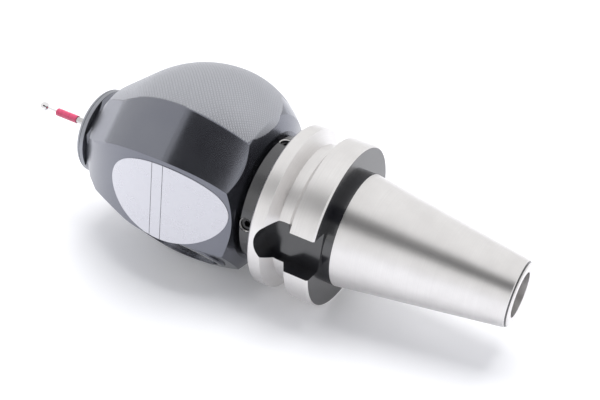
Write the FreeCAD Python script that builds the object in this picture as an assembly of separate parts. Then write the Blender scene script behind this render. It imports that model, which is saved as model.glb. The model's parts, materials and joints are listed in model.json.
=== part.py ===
"""Edge finder with a tool-holder shank: a stylus, a gimbal and a dial movement in a faceted housing.

Everything is drawn upright in the tool frame: Z runs along the spindle axis from the gauge line of
the taper (z = 0) towards the stylus ball, +X points out of the dial, and angles are counted about
+Z from the dial. At the end the whole tool is laid down as it rests on a bench, on one of its
facets and the rim of the flange: +X towards the small end of the taper, +Z up.
The pieces of the dial movement are drawn in the dial frame: X right, Y up and Z out of the dial,
with the origin on the spindle axis, the shank being above the dial.
"""
import FreeCAD, Part
import math
import os
from FreeCAD import Base

Vector = Base.Vector

# --- holder: 7:24 taper shank with a gripper flange -------------------------------------------
gauge_radius = 22.225          # taper radius at the gauge line
taper_slope = 7.0 / 48.0       # radius lost per mm towards the small end
taper_length = 65.4            # gauge line to the small end
small_end_chamfer = 1.2
hub_step = 1.65                # the ground taper starts this far behind the gauge line
flange_radius = 31.5
flange_gap = 2.0               # gauge line to the rear face of the flange
flange_width = 25.0
flange_chamfer = 0.6
groove_root_radius = 26.5
groove_root_width = 4.22
groove_half_angle = 30.0       # each wall of the V-groove against a square cut
groove_middle = 14.6           # from the rear face of the flange
slot_width = 16.1              # drive slots
slot_floor = 22.6              # distance of the slot floor from the axis
slot_end = 22.5                # from the rear face of the flange to the end of the round
slot_angle = 49.0              # first drive slot, counted from the dial
pilot_radius = 8.5             # pilot bore in front of the pull stud thread
pilot_depth = 9.0
stud_thread_radius = 6.92      # minor radius of the M16 pull stud thread
stud_thread_length = 24.0
collar_radius = 24.45
collar_length = 7.7            # in front of the flange
collar_chamfer = 0.5
pocket_depth = 22.7            # pocket for the spigot of the housing, from the collar's face
spigot_play = 0.5              # room round the spigot, for centring
centring_screw_radius = 2.5
centring_screw_row = 2.9       # screw row behind the collar's face
centring_hole_chamfer = 0.6
centring_screw_count = 4
centring_socket_radius = 1.38  # across the corners of the hexagon socket
clamp_screw_radius = 4.0
clamp_head_radius = 6.0
clamp_head_height = 8.0
clamp_socket_radius = 3.4      # across the corners of the hexagon socket
clamp_socket_depth = 4.5
clamp_hole_play = 0.2
clamp_head_play = 0.3          # round the head, in its bore behind the thread
washer_thickness = 1.6
screw_engagement = 12.0        # clamp screw into the spigot
screw_hole_spare = 2.25        # screw hole beyond the end of the clamp screw

# --- housing ---------------------------------------------------------------------------------
neck_gap = 1.3                 # open neck between the collar and the housing
spigot_radius = 17.5
neck_radius = 25.7             # where the back cone starts
back_cone_slope = 2.115        # radius gained per mm
barrel_middle = 63.4           # widest section
barrel_radius = 41.8           # at the root of the knurling
barrel_rear_arc = 34.6
barrel_front_arc = 44.9
barrel_front_slope = 0.774
shoulder_start = 105.0         # turned shoulder round the nose
shoulder_end = 108.0
nose_radius = 17.4
nose_front = 110.2
# each facet: greatest distance from the axis, where, rear arc, front arc, straight front slope
dial_facet = (32.2, 68.3, 170.0, 40.0, 0.324)
label_facet = (34.46, 62.8, 48.2, 67.0, 0.795)
side_facet = (39.97, 62.8, 33.9, 49.2, 0.832)
facet_step = 45.0
web_thickness = 4.3            # between the dial chamber and the spring seat
spring_seat_radius = 7.3
sleeve_bore_front = 104.6      # front end of the sleeve's bore, where the nose ring stops it
sleeve_bore_length = 20.6

# --- dial -------------------------------------------------------------------------------------
dial_centre = 58.0             # along the spindle axis
dial_face = 31.3               # top of the bezel, from the axis
bezel_radius = 16.4
bezel_height = 4.7
bezel_lip = 0.95
bezel_lip_height = 0.5
thread_play = 0.1              # bezel, nose ring and clamp screw in their threads
glass_radius = 14.7
glass_thickness = 1.2
glass_play = 0.05              # round the glass in the bezel
gasket_thickness = 0.7
gasket_width = 0.8
dial_radius = 15.1
dial_thickness = 0.6
spacer_height = 3.5
spacer_width = 1.2
chamber_play = 0.1             # dial stack in its chamber
chamber_radius = 14.0          # behind the movement
chamber_depth = 19.5           # behind the rear plate's seat
plate_thickness = 1.2
plate_spacing = 7.5
pillar_radius = 1.2
pillar_circle = 13.0
pillar_angles = (0.0, 125.0, 180.0, 305.0)

# --- movement ---------------------------------------------------------------------------------
stylus_travel = 4.0
rack_pitch = 0.5
rack_pinion_teeth = 12
wheel_teeth = 60
centre_pinion_teeth = 10
wheel_distance = 7.5           # wheel arbors from the centre arbor
rack_side = 3.2                # wheel arbor beside the spindle axis
arbor_radius = 0.6
pivot_play = 0.03
tooth_backlash = 0.22          # share of the tooth that is left as play
tooth_depth = 1.1              # below the pitch line, in modules
tooth_height = 0.85            # above the pitch line, in modules
tooth_root_share = 0.38        # half the tooth's width at its root, in pitches
tooth_tip_share = 0.14         # half the tooth's width at its tip, in pitches
rack_spare_teeth = 3           # beyond the travel at each end of the rack
wheel_thickness = 0.8
wheel_rim_share = 0.8          # inner side of the rim against the pitch radius
wheel_hub_radius = 1.8
pinion_length = 1.8
rack_width = 2.6
rack_level = 2.0               # rack behind face, from the rear plate's front face
wheel_level = 5.6              # wheels, from the rear plate's front face
hand_thickness = 0.35
hand_half_width = 0.72
hand_point_half_width = 0.18
small_hand_level = 0.7         # above the dial
main_hand_level = 1.5
main_hand_length = 11.5
small_hand_length = 2.7
hand_boss_radius = 1.3
dial_hole_radius = 1.1
hairspring_turns = 4
hairspring_inner = 1.3
hairspring_pitch = 0.62
hairspring_thickness = 0.16
hairspring_height = 0.6
hairspring_level = 1.4
collet_radius = 1.0

# --- plunger and sleeve ----------------------------------------------------------------------
plunger_radius = 2.5
plunger_play = 0.02
plunger_rear = 70.0            # shoulder that the rack arm sits against
rack_arm_thickness = 3.0
rack_arm_width = 6.0
rack_neck_width = 1.5
rack_slot_play = 0.4           # round the rack arm in the rear plate's slot
rack_arm_gap = 0.8             # arm's foot behind the rear plate
arm_stud_radius = 1.4
arm_nut_height = 1.5
arm_nut_corner = 2.6
bush_radius = 4.5
bush_setback = 1.2             # bush's rear end in front of the dial chamber
bush_flange_radius = 6.8
bush_flange_thickness = 1.2
bush_nose_length = 6.5
bush_nose_radius = 4.3
spring_radius = 5.75           # mean radius of the return spring
spring_wire_radius = 0.42
spring_turns = 6.0
spring_steps = 16              # straight lengths in one turn of the coil
sleeve_radius = 12.95
sleeve_play = 0.05
sleeve_stop_gap = 0.1          # sleeve to nose ring at rest
sleeve_length = 14.5
sleeve_wall = 1.75
sleeve_floor = 2.5
sleeve_stud_radius = 2.0

# --- gimbal and stylus ------------------------------------------------------------------------
pivot_depth = 6.0              # gimbal's centre behind the front end of the sleeve
gimbal_inner_radius = 7.4
gimbal_outer_radius = 10.2
gimbal_thickness = 4.0
gimbal_pin_radius = 0.9
gimbal_pin_play = 0.03
outer_pin_reach = 2.4          # out of the ring, into the sleeve
inner_pin_reach = 3.4          # in from the ring, into the holder's hub
holder_hub_radius = 5.6
holder_hub_height = 5.0
holder_stem_radius = 3.0
holder_front = 119.0
stud_bore_depth = 8.0
stud_engagement = 7.0          # stylus stud into the holder
ring_radius = 17.3
ring_gap = 0.25                # fine line between the housing and the nose ring
ring_front = 113.8
ring_round = 1.6
ring_spigot_radius = 15.0
ring_bore_radius = 10.2
boot_seat_radius = 12.2
boot_bead_height = 1.8
boot_wall = 0.8
boot_lip_setback = 1.0         # front lip of the boot behind the holder's front end
# corners of the boot's fold: share of the fold's width inwards, share of its height upwards
boot_folds = ((1.0, 1.6), (0.8, 2.2), (2.0, 2.6), (1.9, 3.2))
clip_thickness = 0.6
clip_width = 1.0
stud_radius = 1.9
stud_hex_corner = 2.7
stud_hex_height = 1.8
stem_radius = 1.3
sleeve_start = 126.1           # pink break sleeve
sleeve_end = 136.5
break_sleeve_radius = 1.65
break_sleeve_chamfer = 0.5
tip_pin_radius = 0.5
tip_pin_seat = 4.0
ball_radius = 2.0
ball_centre = 143.0

# --- label -----------------------------------------------------------------------------------
label_half_length = 24.5
label_half_width = 16.0
label_middle = 62.0
label_offset = 4.3             # across the facet, towards the side facet
label_thickness = 0.25

# --- places worked out from the sizes above ---------------------------------------------------
flange_front = flange_gap + flange_width
collar_front = flange_front + collar_length
neck_front = collar_front + neck_gap
pocket_floor = collar_front - pocket_depth
small_end = -taper_length
small_end_radius = gauge_radius - taper_slope * taper_length
thread_end = small_end + pilot_depth + stud_thread_length
clamp_seat = thread_end + clamp_head_play + clamp_head_height + washer_thickness
screw_row = collar_front - centring_screw_row
sleeve_bore_rear = sleeve_bore_front - sleeve_bore_length
sleeve_front = sleeve_bore_front - sleeve_stop_gap
sleeve_rear = sleeve_front - sleeve_length
pivot_height = sleeve_front - pivot_depth
bezel_seat = dial_face - bezel_height
dial_level = bezel_seat - dial_thickness
spacer_level = dial_level - spacer_height
front_plate_level = spacer_level - plate_thickness
rear_plate_level = front_plate_level - plate_spacing - plate_thickness
movement_floor = rear_plate_level + plate_thickness
chamber_back = rear_plate_level - chamber_depth
web_rear = dial_centre + chamber_radius
web_front = web_rear + web_thickness
rack_radius = rack_pitch * rack_pinion_teeth / (2.0 * math.pi)
wheel_radius = wheel_distance * wheel_teeth / (wheel_teeth + centre_pinion_teeth)
centre_pinion_radius = wheel_distance - wheel_radius
wheel_drop = math.sqrt(wheel_distance ** 2 - rack_side ** 2)
wheel_place = Vector(-rack_side, -wheel_drop, 0.0)
take_up_place = Vector(rack_side, wheel_drop, 0.0)
big = 200.0


def to_dial(shape):
    """Carries a shape from the dial frame to the tool frame."""
    right = Vector(0, -1, 0)
    up = Vector(0, 0, -1)
    out = Vector(1, 0, 0)
    frame = Base.Placement(Vector(0, 0, dial_centre), Base.Rotation(right, up, out, "XYZ"))
    moved = shape.copy()
    moved.Placement = frame.multiply(moved.Placement)
    return moved


def turned(points):
    """A solid of revolution about Z from (radius, z) points."""
    wire = Part.makePolygon([Vector(r, 0, z) for r, z in points + points[:1]])
    return swung(Part.Face(wire))


def swung(face):
    """A full turn of a face about the Z axis."""
    return face.revolve(Vector(0, 0, 0), Vector(0, 0, 1), 360.0)


def disc(radius, low, high, inner=0.0):
    """A cylinder, or a ring with an inner radius, along Z from low to high."""
    solid = Part.makeCylinder(radius, high - low, Vector(0, 0, low))
    if inner > 0.0:
        solid = solid.cut(Part.makeCylinder(inner, high - low, Vector(0, 0, low)))
    return solid


def rod(radius, start, end):
    """A cylinder from one point to another."""
    axis = end.sub(start)
    return Part.makeCylinder(radius, axis.Length, start, axis)


def block(low, high):
    """A box between two corners."""
    return Part.makeBox(high[0] - low[0], high[1] - low[1], high[2] - low[2], Vector(*low))


def spun(shape, angle):
    """A copy turned about the Z axis."""
    copy = shape.copy()
    copy.rotate(Vector(0, 0, 0), Vector(0, 0, 1), angle)
    return copy


def shifted(shape, offset):
    """A copy moved by an offset."""
    copy = shape.copy()
    copy.translate(offset)
    return copy


def hexagon(corner, low, high):
    """A hexagonal prism along Z."""
    points = [Vector(corner * math.cos(math.radians(60 * k)), corner * math.sin(math.radians(60 * k)), low)
              for k in range(7)]
    return Part.Face(Part.makePolygon(points)).extrude(Vector(0, 0, high - low))


def joined(first, *others):
    """Shapes fused into one solid with clean faces."""
    return first.multiFuse(list(others)).removeSplitter()


# --- holder -----------------------------------------------------------------------------------
def taper_shank():
    """The holder: ground taper, flange with V-groove and drive slots, and collar for the housing."""
    taper_start = -hub_step
    hub_radius = gauge_radius - taper_slope * hub_step
    groove_mid = flange_gap + groove_middle
    half_root = groove_root_width / 2.0
    half_mouth = half_root + (flange_radius - groove_root_radius) * math.tan(math.radians(groove_half_angle))
    outline = [
        (0, small_end), (small_end_radius - small_end_chamfer, small_end),
        (small_end_radius, small_end + small_end_chamfer), (hub_radius, taper_start),
        (hub_radius, flange_gap), (flange_radius - flange_chamfer, flange_gap),
        (flange_radius, flange_gap + flange_chamfer), (flange_radius, groove_mid - half_mouth),
        (groove_root_radius, groove_mid - half_root), (groove_root_radius, groove_mid + half_root),
        (flange_radius, groove_mid + half_mouth), (flange_radius, flange_front - flange_chamfer),
        (flange_radius - flange_chamfer, flange_front), (collar_radius, flange_front),
        (collar_radius, collar_front - collar_chamfer), (collar_radius - collar_chamfer, collar_front),
        (0, collar_front)]
    body = turned(outline)
    pilot = disc(pilot_radius, small_end, small_end + pilot_depth)
    thread = disc(stud_thread_radius, small_end, thread_end)
    head_bore = disc(clamp_head_radius + clamp_head_play, small_end, clamp_seat)
    screw_way = disc(clamp_screw_radius + clamp_hole_play, small_end, collar_front)
    pocket = disc(spigot_radius + spigot_play, pocket_floor, collar_front)
    body = body.cut(joined(pilot, thread, head_bore, screw_way, pocket))
    for side in range(2):
        body = body.cut(spun(drive_slot(), slot_angle + 180.0 * side))
    return body.cut(Part.makeCompound(centring_holes()))


def drive_slot():
    """One drive slot, cut through the flange from behind, with a round end."""
    half = slot_width / 2.0
    round_middle = flange_gap + slot_end - half
    straight = block((slot_floor, -half, flange_gap - hub_step), (big, half, round_middle))
    round_end = rod(half, Vector(slot_floor, 0, round_middle), Vector(big, 0, round_middle))
    return straight.fuse(round_end)


def screw_angles():
    """Angles of the centring screws, in line with the drive slots."""
    return [slot_angle + 360.0 * k / centring_screw_count for k in range(centring_screw_count)]


def centring_holes():
    """The radial screw holes through the collar, with a chamfered mouth."""
    mouth = centring_screw_radius + centring_hole_chamfer
    hole = rod(centring_screw_radius, Vector(spigot_radius, 0, screw_row), Vector(big, 0, screw_row))
    bevel = Part.makeCone(centring_screw_radius, mouth, centring_hole_chamfer,
                          Vector(collar_radius - centring_hole_chamfer, 0, screw_row), Vector(1, 0, 0))
    return [spun(hole.fuse(bevel), angle) for angle in screw_angles()]


def centring_screws():
    """Grub screws that press on the spigot and set the tool true to the spindle."""
    length = collar_radius - spigot_radius - 2.0 * centring_hole_chamfer
    socket = spun_to_x(hexagon(centring_socket_radius, 0, length / 2.0))
    screw = rod(centring_screw_radius, Vector(spigot_radius, 0, 0), Vector(spigot_radius + length, 0, 0))
    screw = screw.cut(shifted(socket, Vector(spigot_radius + length / 2.0, 0, 0)))
    placed = shifted(screw, Vector(0, 0, screw_row))
    return Part.makeCompound([spun(placed, angle) for angle in screw_angles()])


def spun_to_x(shape):
    """A copy turned from the Z axis onto the X axis."""
    copy = shape.copy()
    copy.rotate(Vector(0, 0, 0), Vector(0, 1, 0), 90)
    return copy


def clamp_washer():
    """Washer under the head of the clamp screw."""
    low = clamp_seat - washer_thickness
    return disc(clamp_head_radius, low, clamp_seat, clamp_screw_radius + clamp_hole_play)


def clamp_screw():
    """Socket head screw that draws the housing's spigot to the floor of the pocket."""
    head_front = clamp_seat - washer_thickness
    head = disc(clamp_head_radius, head_front - clamp_head_height, head_front)
    shaft = disc(clamp_screw_radius, head_front, pocket_floor + screw_engagement)
    socket = hexagon(clamp_socket_radius, head_front - clamp_head_height,
                     head_front - clamp_head_height + clamp_socket_depth)
    return joined(head, shaft).cut(socket)


# --- housing ----------------------------------------------------------------------------------
def profile_edges(size, low, high):
    """Edges of a facet's profile in the XZ plane: rear arc, front arc and a straight run."""
    reach, middle, rear, front, slope = size
    lean = math.atan(slope)

    def on_rear(z):
        return Vector(reach - rear + math.sqrt(rear ** 2 - (z - middle) ** 2), 0, z)

    def on_front(turn):
        return Vector(reach - front * (1.0 - math.cos(turn)), 0, middle + front * math.sin(turn))

    start = on_rear(low)
    half_way = on_rear((low + middle) / 2.0)
    crown = Vector(reach, 0, middle)
    run_start = on_front(lean)
    run_end = Vector(run_start.x - slope * (high - run_start.z), 0, high)
    rear_arc = Part.Arc(start, half_way, crown).toShape()
    front_arc = Part.Arc(crown, on_front(lean / 2.0), run_start).toShape()
    return [rear_arc, front_arc, Part.makeLine(run_start, run_end)], start, run_end


def facet_cutter(size, angle, lift=0.0):
    """Everything outside one facet: a cut that is straight across and curved along the axis."""
    raised = (size[0] + lift, size[1], size[2] + lift, size[3] + lift, size[4])
    edges, start, end = profile_edges(raised, collar_front, nose_front + ring_gap)
    far_end = Vector(big, 0, end.z)
    far_start = Vector(big, 0, start.z)
    edges = edges + [Part.makeLine(end, far_end), Part.makeLine(far_end, far_start),
                     Part.makeLine(far_start, start)]
    face = Part.Face(Part.Wire(edges))
    face.translate(Vector(0, -big / 2.0, 0))
    return spun(face.extrude(Vector(0, big, 0)), angle)


def facets():
    """Size and angle of every facet, counted from the dial."""
    return [(dial_facet, 0.0), (label_facet, facet_step), (label_facet, -facet_step),
            (side_facet, 2.0 * facet_step), (side_facet, -2.0 * facet_step)]


def barrel():
    """The turned blank of the housing, from the neck to the nose."""
    size = (barrel_radius, barrel_middle, barrel_rear_arc, barrel_front_arc, barrel_front_slope)
    edges, start, end = profile_edges(size, neck_front, shoulder_start)
    points = [end, Vector(nose_radius, 0, shoulder_end), Vector(nose_radius, 0, nose_front),
              Vector(0, 0, nose_front), Vector(0, 0, neck_front), start]
    edges = edges + [Part.makeLine(a, b) for a, b in zip(points, points[1:])]
    blank = swung(Part.Face(Part.Wire(edges)))
    cone_length = barrel_radius / back_cone_slope
    cone_end = neck_radius + back_cone_slope * cone_length
    cone = Part.makeCone(neck_radius, cone_end, cone_length, Vector(0, 0, neck_front))
    return blank.common(joined(cone, disc(cone_end, neck_front + cone_length, nose_front)))


def housing():
    """The housing: spigot, knurled barrel with five facets, dial chamber, spring seat and sleeve bore."""
    body = barrel()
    for size, angle in facets():
        body = body.cut(facet_cutter(size, angle))
    body = joined(body, disc(spigot_radius, pocket_floor, neck_front))
    bezel_bore = disc(bezel_radius + thread_play, bezel_seat, big)
    stack_bore = disc(dial_radius + chamber_play, rear_plate_level, big)
    chamber = disc(chamber_radius, chamber_back, big)
    hollow = to_dial(joined(chamber, stack_bore, bezel_bore))
    bush_bore = disc(bush_radius, dial_centre, web_front)
    spring_bore = disc(spring_seat_radius, web_front, sleeve_bore_front)
    sleeve_bore = disc(sleeve_radius + sleeve_play, sleeve_bore_rear, nose_front)
    ring_bore = disc(ring_spigot_radius + thread_play, sleeve_bore_front, nose_front)
    hole_end = pocket_floor + screw_engagement + screw_hole_spare
    screw_hole = disc(clamp_screw_radius + thread_play, pocket_floor, hole_end)
    return body.cut(joined(hollow, bush_bore, spring_bore, sleeve_bore, ring_bore)).cut(screw_hole)


def label_plate():
    """Oval label bonded to a facet, following its curve."""
    cutter = facet_cutter(label_facet, 0.0)
    skin = cutter.cut(facet_cutter(label_facet, 0.0, label_thickness))
    oval = Part.Ellipse(Vector(0, 0, 0), label_half_length, label_half_width).toShape()
    prism = Part.Face(Part.Wire([oval])).extrude(Vector(0, 0, big))
    prism.rotate(Vector(0, 0, 0), Vector(0, 1, 0), 90)
    prism.translate(Vector(0, label_offset, label_middle))
    return spun(skin.common(prism), facet_step)


# --- dial -------------------------------------------------------------------------------------
def bezel():
    """Threaded ring that holds the glass and clamps the dial stack."""
    inner = glass_radius + glass_play
    lip = glass_radius - bezel_lip
    lip_level = dial_face - bezel_lip_height
    edge = bezel_lip_height
    ring = turned([(inner, bezel_seat), (bezel_radius, bezel_seat), (bezel_radius, dial_face - edge),
                   (bezel_radius - edge, dial_face), (lip, dial_face), (lip, lip_level), (inner, lip_level)])
    return to_dial(ring)


def dial_glass():
    """Flat glass behind the lip of the bezel."""
    top = dial_face - bezel_lip_height
    return to_dial(disc(glass_radius, top - glass_thickness, top))


def glass_gasket():
    """Rubber ring under the glass."""
    top = dial_face - bezel_lip_height - glass_thickness
    return to_dial(disc(glass_radius, top - gasket_thickness, top, glass_radius - gasket_width))


def dial_plate():
    """Printed dial with holes for both hands' arbors."""
    plate = disc(dial_radius, dial_level, bezel_seat, dial_hole_radius)
    return to_dial(plate.cut(shifted(disc(dial_hole_radius, dial_level, bezel_seat), wheel_place)))


def dial_spacer():
    """Ring between the movement's front plate and the dial."""
    return to_dial(disc(dial_radius, spacer_level, dial_level, dial_radius - spacer_width))


def pivot_holes(low, high):
    """Pivot holes of the three arbors."""
    hole = disc(arbor_radius + pivot_play, low, high)
    return [hole, shifted(hole, wheel_place), shifted(hole, take_up_place)]


def pillar_places():
    """Centres of the pillars between the movement plates."""
    return [Vector(pillar_circle * math.cos(math.radians(a)), pillar_circle * math.sin(math.radians(a)), 0)
            for a in pillar_angles]


def front_plate():
    """Front plate of the movement."""
    plate = disc(dial_radius, front_plate_level, spacer_level)
    return to_dial(plate.cut(Part.makeCompound(pivot_holes(front_plate_level, spacer_level))))


def rear_plate():
    """Rear plate of the movement, with a slot for the rack arm."""
    plate = disc(dial_radius, rear_plate_level, movement_floor)
    plate = plate.cut(Part.makeCompound(pivot_holes(rear_plate_level, movement_floor)))
    side = -rack_side + rack_radius
    play = rack_slot_play
    low = dial_centre - plunger_rear - play
    high = low + rack_arm_thickness + stylus_travel + 2.0 * play
    slot = block((side - rack_pitch + play, low, 0), (side + rack_neck_width + 2 * play, high, big))
    return to_dial(plate.cut(slot))


def plate_pillars():
    """Pillars that space the movement plates."""
    pillar = disc(pillar_radius, movement_floor, front_plate_level)
    return to_dial(Part.makeCompound([shifted(pillar, place) for place in pillar_places()]))


# --- movement ---------------------------------------------------------------------------------
def gear(teeth, radius, low, high, first_tooth):
    """A spur gear along Z with straight-sided teeth; first_tooth is the angle of one tooth, in radians."""
    module = 2.0 * radius / teeth
    step = 2.0 * math.pi / teeth
    root = radius - tooth_depth * module
    tip = radius + tooth_height * module
    half_root = step * (tooth_root_share - tooth_backlash / 4.0)
    half_tip = step * (tooth_tip_share - tooth_backlash / 8.0)
    points = []
    for k in range(teeth):
        middle = first_tooth + step * k
        for reach, turn in ((root, -half_root), (tip, -half_tip), (tip, half_tip), (root, half_root)):
            points.append(Vector(reach * math.cos(middle + turn), reach * math.sin(middle + turn), low))
    return Part.Face(Part.makePolygon(points + points[:1])).extrude(Vector(0, 0, high - low))


def wheel_angle():
    """Direction from the centre arbor to the rack wheel's arbor, in radians."""
    return math.atan2(-wheel_drop, -rack_side)


def rack_level_range():
    """Height of the rack's teeth above the rear plate, as low and high."""
    low = movement_floor + rack_level
    return low, low + rack_width


def centre_arbor():
    """Centre arbor with its pinion, carrying the main hand."""
    level = movement_floor + wheel_level - (pinion_length - wheel_thickness) / 2.0
    shaft = disc(arbor_radius, rear_plate_level, bezel_seat + main_hand_level + 2.0 * hand_thickness)
    pinion = gear(centre_pinion_teeth, centre_pinion_radius, level, level + pinion_length, wheel_angle())
    return to_dial(joined(shaft, pinion))


def rack_arbor():
    """Arbor of the rack wheel: rack pinion at the back, small hand in front."""
    low, high = rack_level_range()
    shaft = disc(arbor_radius, rear_plate_level, bezel_seat + small_hand_level + 2.0 * hand_thickness)
    pinion = gear(rack_pinion_teeth, rack_radius, low, high, 0.0)
    return to_dial(shifted(joined(shaft, pinion), wheel_place))


def wheel(first_tooth):
    """A spoked wheel with a bore for its arbor."""
    level = movement_floor + wheel_level
    rim = wheel_radius * wheel_rim_share
    body = gear(wheel_teeth, wheel_radius, level, level + wheel_thickness, first_tooth)
    window = disc(rim, level, level + wheel_thickness, wheel_hub_radius)
    spokes = [spun(block((0, -arbor_radius, level), (rim, arbor_radius, level + wheel_thickness)), 90.0 * k)
              for k in range(4)]
    window = window.cut(Part.makeCompound(spokes))
    bore = disc(arbor_radius, level, level + wheel_thickness)
    return body.cut(window).cut(bore)


def rack_wheel():
    """Wheel on the rack arbor, in mesh with the centre pinion."""
    gap = wheel_angle() + math.pi + math.pi / wheel_teeth
    return to_dial(shifted(wheel(gap), wheel_place))


def take_up_wheel():
    """Wheel that the hairspring loads to take up backlash."""
    gap = wheel_angle() + math.pi / wheel_teeth
    return to_dial(shifted(wheel(gap), take_up_place))


def take_up_arbor():
    """Arbor of the take-up wheel with the hairspring's collet."""
    low = movement_floor + hairspring_level
    shaft = disc(arbor_radius, rear_plate_level, spacer_level)
    collet = disc(collet_radius, low, low + hairspring_height)
    return to_dial(shifted(joined(shaft, collet), take_up_place))


def hairspring():
    """Flat spiral spring round the take-up arbor, drawn as half-turn arcs."""
    low = movement_floor + hairspring_level
    inner = spiral_edges(hairspring_inner)
    outer = spiral_edges(hairspring_inner + hairspring_thickness)
    start = Part.makeLine(inner[0].Vertexes[0].Point, outer[0].Vertexes[0].Point)
    end = Part.makeLine(inner[-1].Vertexes[-1].Point, outer[-1].Vertexes[-1].Point)
    wire = Part.Wire(Part.__sortEdges__(inner + outer + [start, end]))
    strip = Part.Face(wire).extrude(Vector(0, 0, hairspring_height))
    return to_dial(shifted(strip, take_up_place.add(Vector(0, 0, low))))


def spiral_edges(first_radius):
    """Half-turn arcs about alternating centres, each wider than the one before."""
    edges = []
    step = hairspring_pitch / 2.0
    radius = first_radius
    left = -radius
    right = radius
    for k in range(2 * hairspring_turns):
        upper = k % 2 == 0
        middle = (left + right) / 2.0
        radius = (right - left) / 2.0
        top = Vector(middle, radius if upper else -radius, 0)
        start = Vector(right if upper else left, 0, 0)
        end = Vector(left if upper else right, 0, 0)
        edges.append(Part.Arc(start, top, end).toShape())
        if upper:
            right = right + 2.0 * step
        else:
            left = left - 2.0 * step
    return edges


def hand(length, level, tail):
    """A tapered pointer with a boss, along +Y of the dial frame."""
    low = bezel_seat + level
    wide = hand_half_width
    point = hand_point_half_width
    blade = Part.makePolygon([Vector(-wide, -tail, low), Vector(wide, -tail, low), Vector(point, length, low),
                              Vector(-point, length, low), Vector(-wide, -tail, low)])
    pointer = Part.Face(blade).extrude(Vector(0, 0, hand_thickness))
    boss = disc(hand_boss_radius, low, low + hand_thickness)
    bore = disc(arbor_radius, low, low + hand_thickness)
    return joined(pointer, boss).cut(bore)


def main_hand():
    """Long pointer, one turn for each millimetre."""
    return to_dial(hand(main_hand_length, main_hand_level, main_hand_length / 4.0))


def small_hand():
    """Short pointer that counts the millimetres."""
    return to_dial(shifted(hand(small_hand_length, small_hand_level, small_hand_length / 2.0), wheel_place))


# --- plunger, rack and guide sleeve -----------------------------------------------------------
def plunger():
    """Rod that carries the sleeve's motion to the rack arm."""
    nut_rear = plunger_rear - rack_arm_thickness - arm_nut_height
    rear_stud = disc(arm_stud_radius, nut_rear, plunger_rear)
    shaft = disc(plunger_radius, plunger_rear, sleeve_rear)
    front_stud = disc(sleeve_stud_radius, sleeve_rear, sleeve_rear + sleeve_floor)
    return joined(rear_stud, shaft, front_stud)


def rack_arm():
    """Arm on the plunger with the rack at its outer end."""
    low, high = rack_level_range()
    pitch_line = -rack_side + rack_radius
    back = pitch_line + rack_neck_width
    top = dial_centre - plunger_rear + rack_arm_thickness
    half = rack_arm_width / 2.0
    neck_start = rear_plate_level - rack_arm_gap
    foot = block((-half, top - rack_arm_thickness, -half), (half, top, neck_start))
    neck = block((pitch_line + rack_pitch, top - rack_arm_thickness, 0), (back, top, high))
    arm = joined(foot, neck, rack(pitch_line, back, low, high))
    stud_hole = rod(arm_stud_radius, Vector(0, top - rack_arm_thickness, 0), Vector(0, top, 0))
    return to_dial(arm.cut(stud_hole))


def rack(pitch_line, back, low, high):
    """Toothed bar in the dial frame, teeth towards -X, long enough for the whole travel."""
    module = rack_pitch / math.pi
    root = pitch_line + tooth_depth * module
    tip = pitch_line - tooth_height * module
    half_root = rack_pitch * (tooth_root_share - tooth_backlash / 4.0)
    half_tip = rack_pitch * (tooth_tip_share - tooth_backlash / 8.0)
    below = rack_spare_teeth + math.ceil(stylus_travel / rack_pitch)
    bottom = -wheel_drop - rack_pitch * below
    top = -wheel_drop + rack_pitch * rack_spare_teeth
    points = [Vector(back, bottom, low), Vector(root, bottom, low)]
    for k in range(below + rack_spare_teeth):
        middle = bottom + rack_pitch * (k + 0.5)
        for x, y in ((root, middle - half_root), (tip, middle - half_tip), (tip, middle + half_tip),
                     (root, middle + half_root)):
            points.append(Vector(x, y, low))
    points = points + [Vector(root, top, low), Vector(back, top, low), Vector(back, bottom, low)]
    return Part.Face(Part.makePolygon(points)).extrude(Vector(0, 0, high - low))


def arm_nut():
    """Nut that holds the rack arm to the plunger."""
    high = plunger_rear - rack_arm_thickness
    low = high - arm_nut_height
    return hexagon(arm_nut_corner, low, high).cut(disc(arm_stud_radius, low, high))


def guide_bush():
    """Flanged bush that guides the plunger and seats the return spring."""
    flange_top = web_front + bush_flange_thickness
    nose_top = flange_top + bush_nose_length
    body = joined(disc(bush_radius, web_rear + bush_setback, web_front),
                  disc(bush_flange_radius, web_front, flange_top),
                  disc(bush_nose_radius, flange_top, nose_top))
    return body.cut(disc(plunger_radius + plunger_play, web_rear, nose_top))


def return_spring():
    """Compression spring with ground ends between the bush and the sleeve.

    The wire is drawn in short straight lengths round the coil, with a hexagonal section.
    """
    low = web_front + bush_flange_thickness
    length = sleeve_rear - low
    rise = length + 2.0 * spring_wire_radius
    count = int(spring_turns * spring_steps)
    points = []
    for k in range(count + 1):
        turn = 2.0 * math.pi * k / spring_steps
        height = low - spring_wire_radius + rise * k / count
        points.append(Vector(spring_radius * math.cos(turn), spring_radius * math.sin(turn), height))
    path = Part.makePolygon(points)
    start = Part.makePolygon([points[0].add(Vector(spring_wire_radius * math.cos(math.radians(60 * k)), 0,
                                                   spring_wire_radius * math.sin(math.radians(60 * k))))
                              for k in range(7)])
    wire = path.makePipeShell([start], True, False, 1)
    return wire.common(disc(spring_seat_radius, low, low + length))


def guide_sleeve():
    """Cup that slides in the nose of the housing and carries the gimbal."""
    body = disc(sleeve_radius, sleeve_rear, sleeve_front)
    inside = disc(sleeve_radius - sleeve_wall, sleeve_rear + sleeve_floor, sleeve_front)
    stud_hole = disc(sleeve_stud_radius, sleeve_rear, sleeve_rear + sleeve_floor)
    pin_hole = rod(gimbal_pin_radius + gimbal_pin_play, Vector(0, -big, pivot_height), Vector(0, big, pivot_height))
    return body.cut(joined(inside, stud_hole, pin_hole))


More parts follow.
